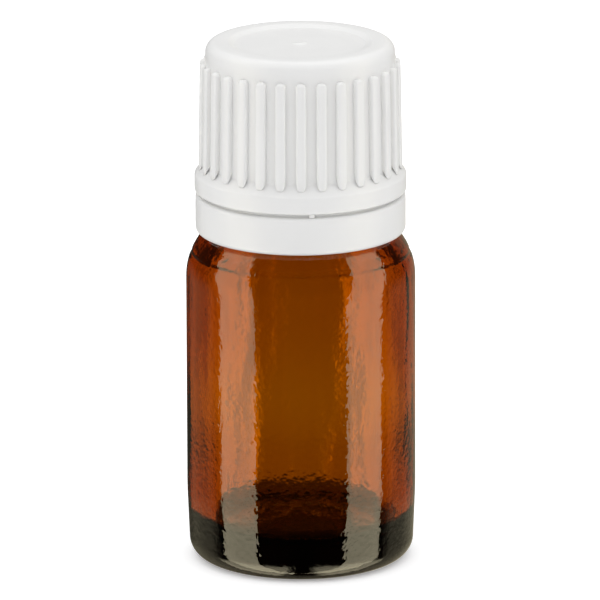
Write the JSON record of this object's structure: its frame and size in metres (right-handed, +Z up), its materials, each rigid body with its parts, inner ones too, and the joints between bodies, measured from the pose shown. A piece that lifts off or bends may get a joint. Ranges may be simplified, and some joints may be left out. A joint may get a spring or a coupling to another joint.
{
  "type": "dropper vial",
  "caption": "Small cylindrical amber glass vial with a rounded shoulder, a thick base, a dropper insert and a ribbed white tamper-evident screw cap.",
  "frame": {"origin": "centre of the base, on the plane that the vial stands on", "axes": "+Z up along the vial's axis; -Y is the front and +X is to the right"},
  "size_m": [0.0225, 0.0224, 0.052],
  "materials": {
    "amber_glass": "clear amber, fire polished",
    "insert_plastic": "milky natural low-density polyethylene",
    "liner_foam": "matt white foam",
    "cap_plastic": "satin white moulded plastic"
  },
  "bodies": {
    "vial": {"bottle": "amber_glass", "dropper_insert": "insert_plastic"},
    "ring": {"tamper_ring": "cap_plastic"},
    "liner": {"cap_liner": "liner_foam"},
    "cap": {"screw_cap": "cap_plastic", "tamper_bridges": "cap_plastic"}
  },
  "joints": [
    {"name": "cap_rise", "type": "slide", "parent": "vial", "child": "liner", "axis": [0, 0, 1], "range_m": [0, 0.0151]},
    {"name": "cap_turn", "type": "hinge", "parent": "liner", "child": "cap", "pos_m": [0, 0, 0.045], "axis": [0, 0, 1], "range_deg": [0, 1800]},
    {"name": "ring_turn", "type": "hinge", "parent": "vial", "child": "ring", "pos_m": [0, 0, 0.0352], "axis": [0, 0, 1], "continuous": true}
  ],
  "couplings": [
    {"joint": "cap_rise", "follows": "cap_turn", "m_per_rad": 0.00047746}
  ]
}
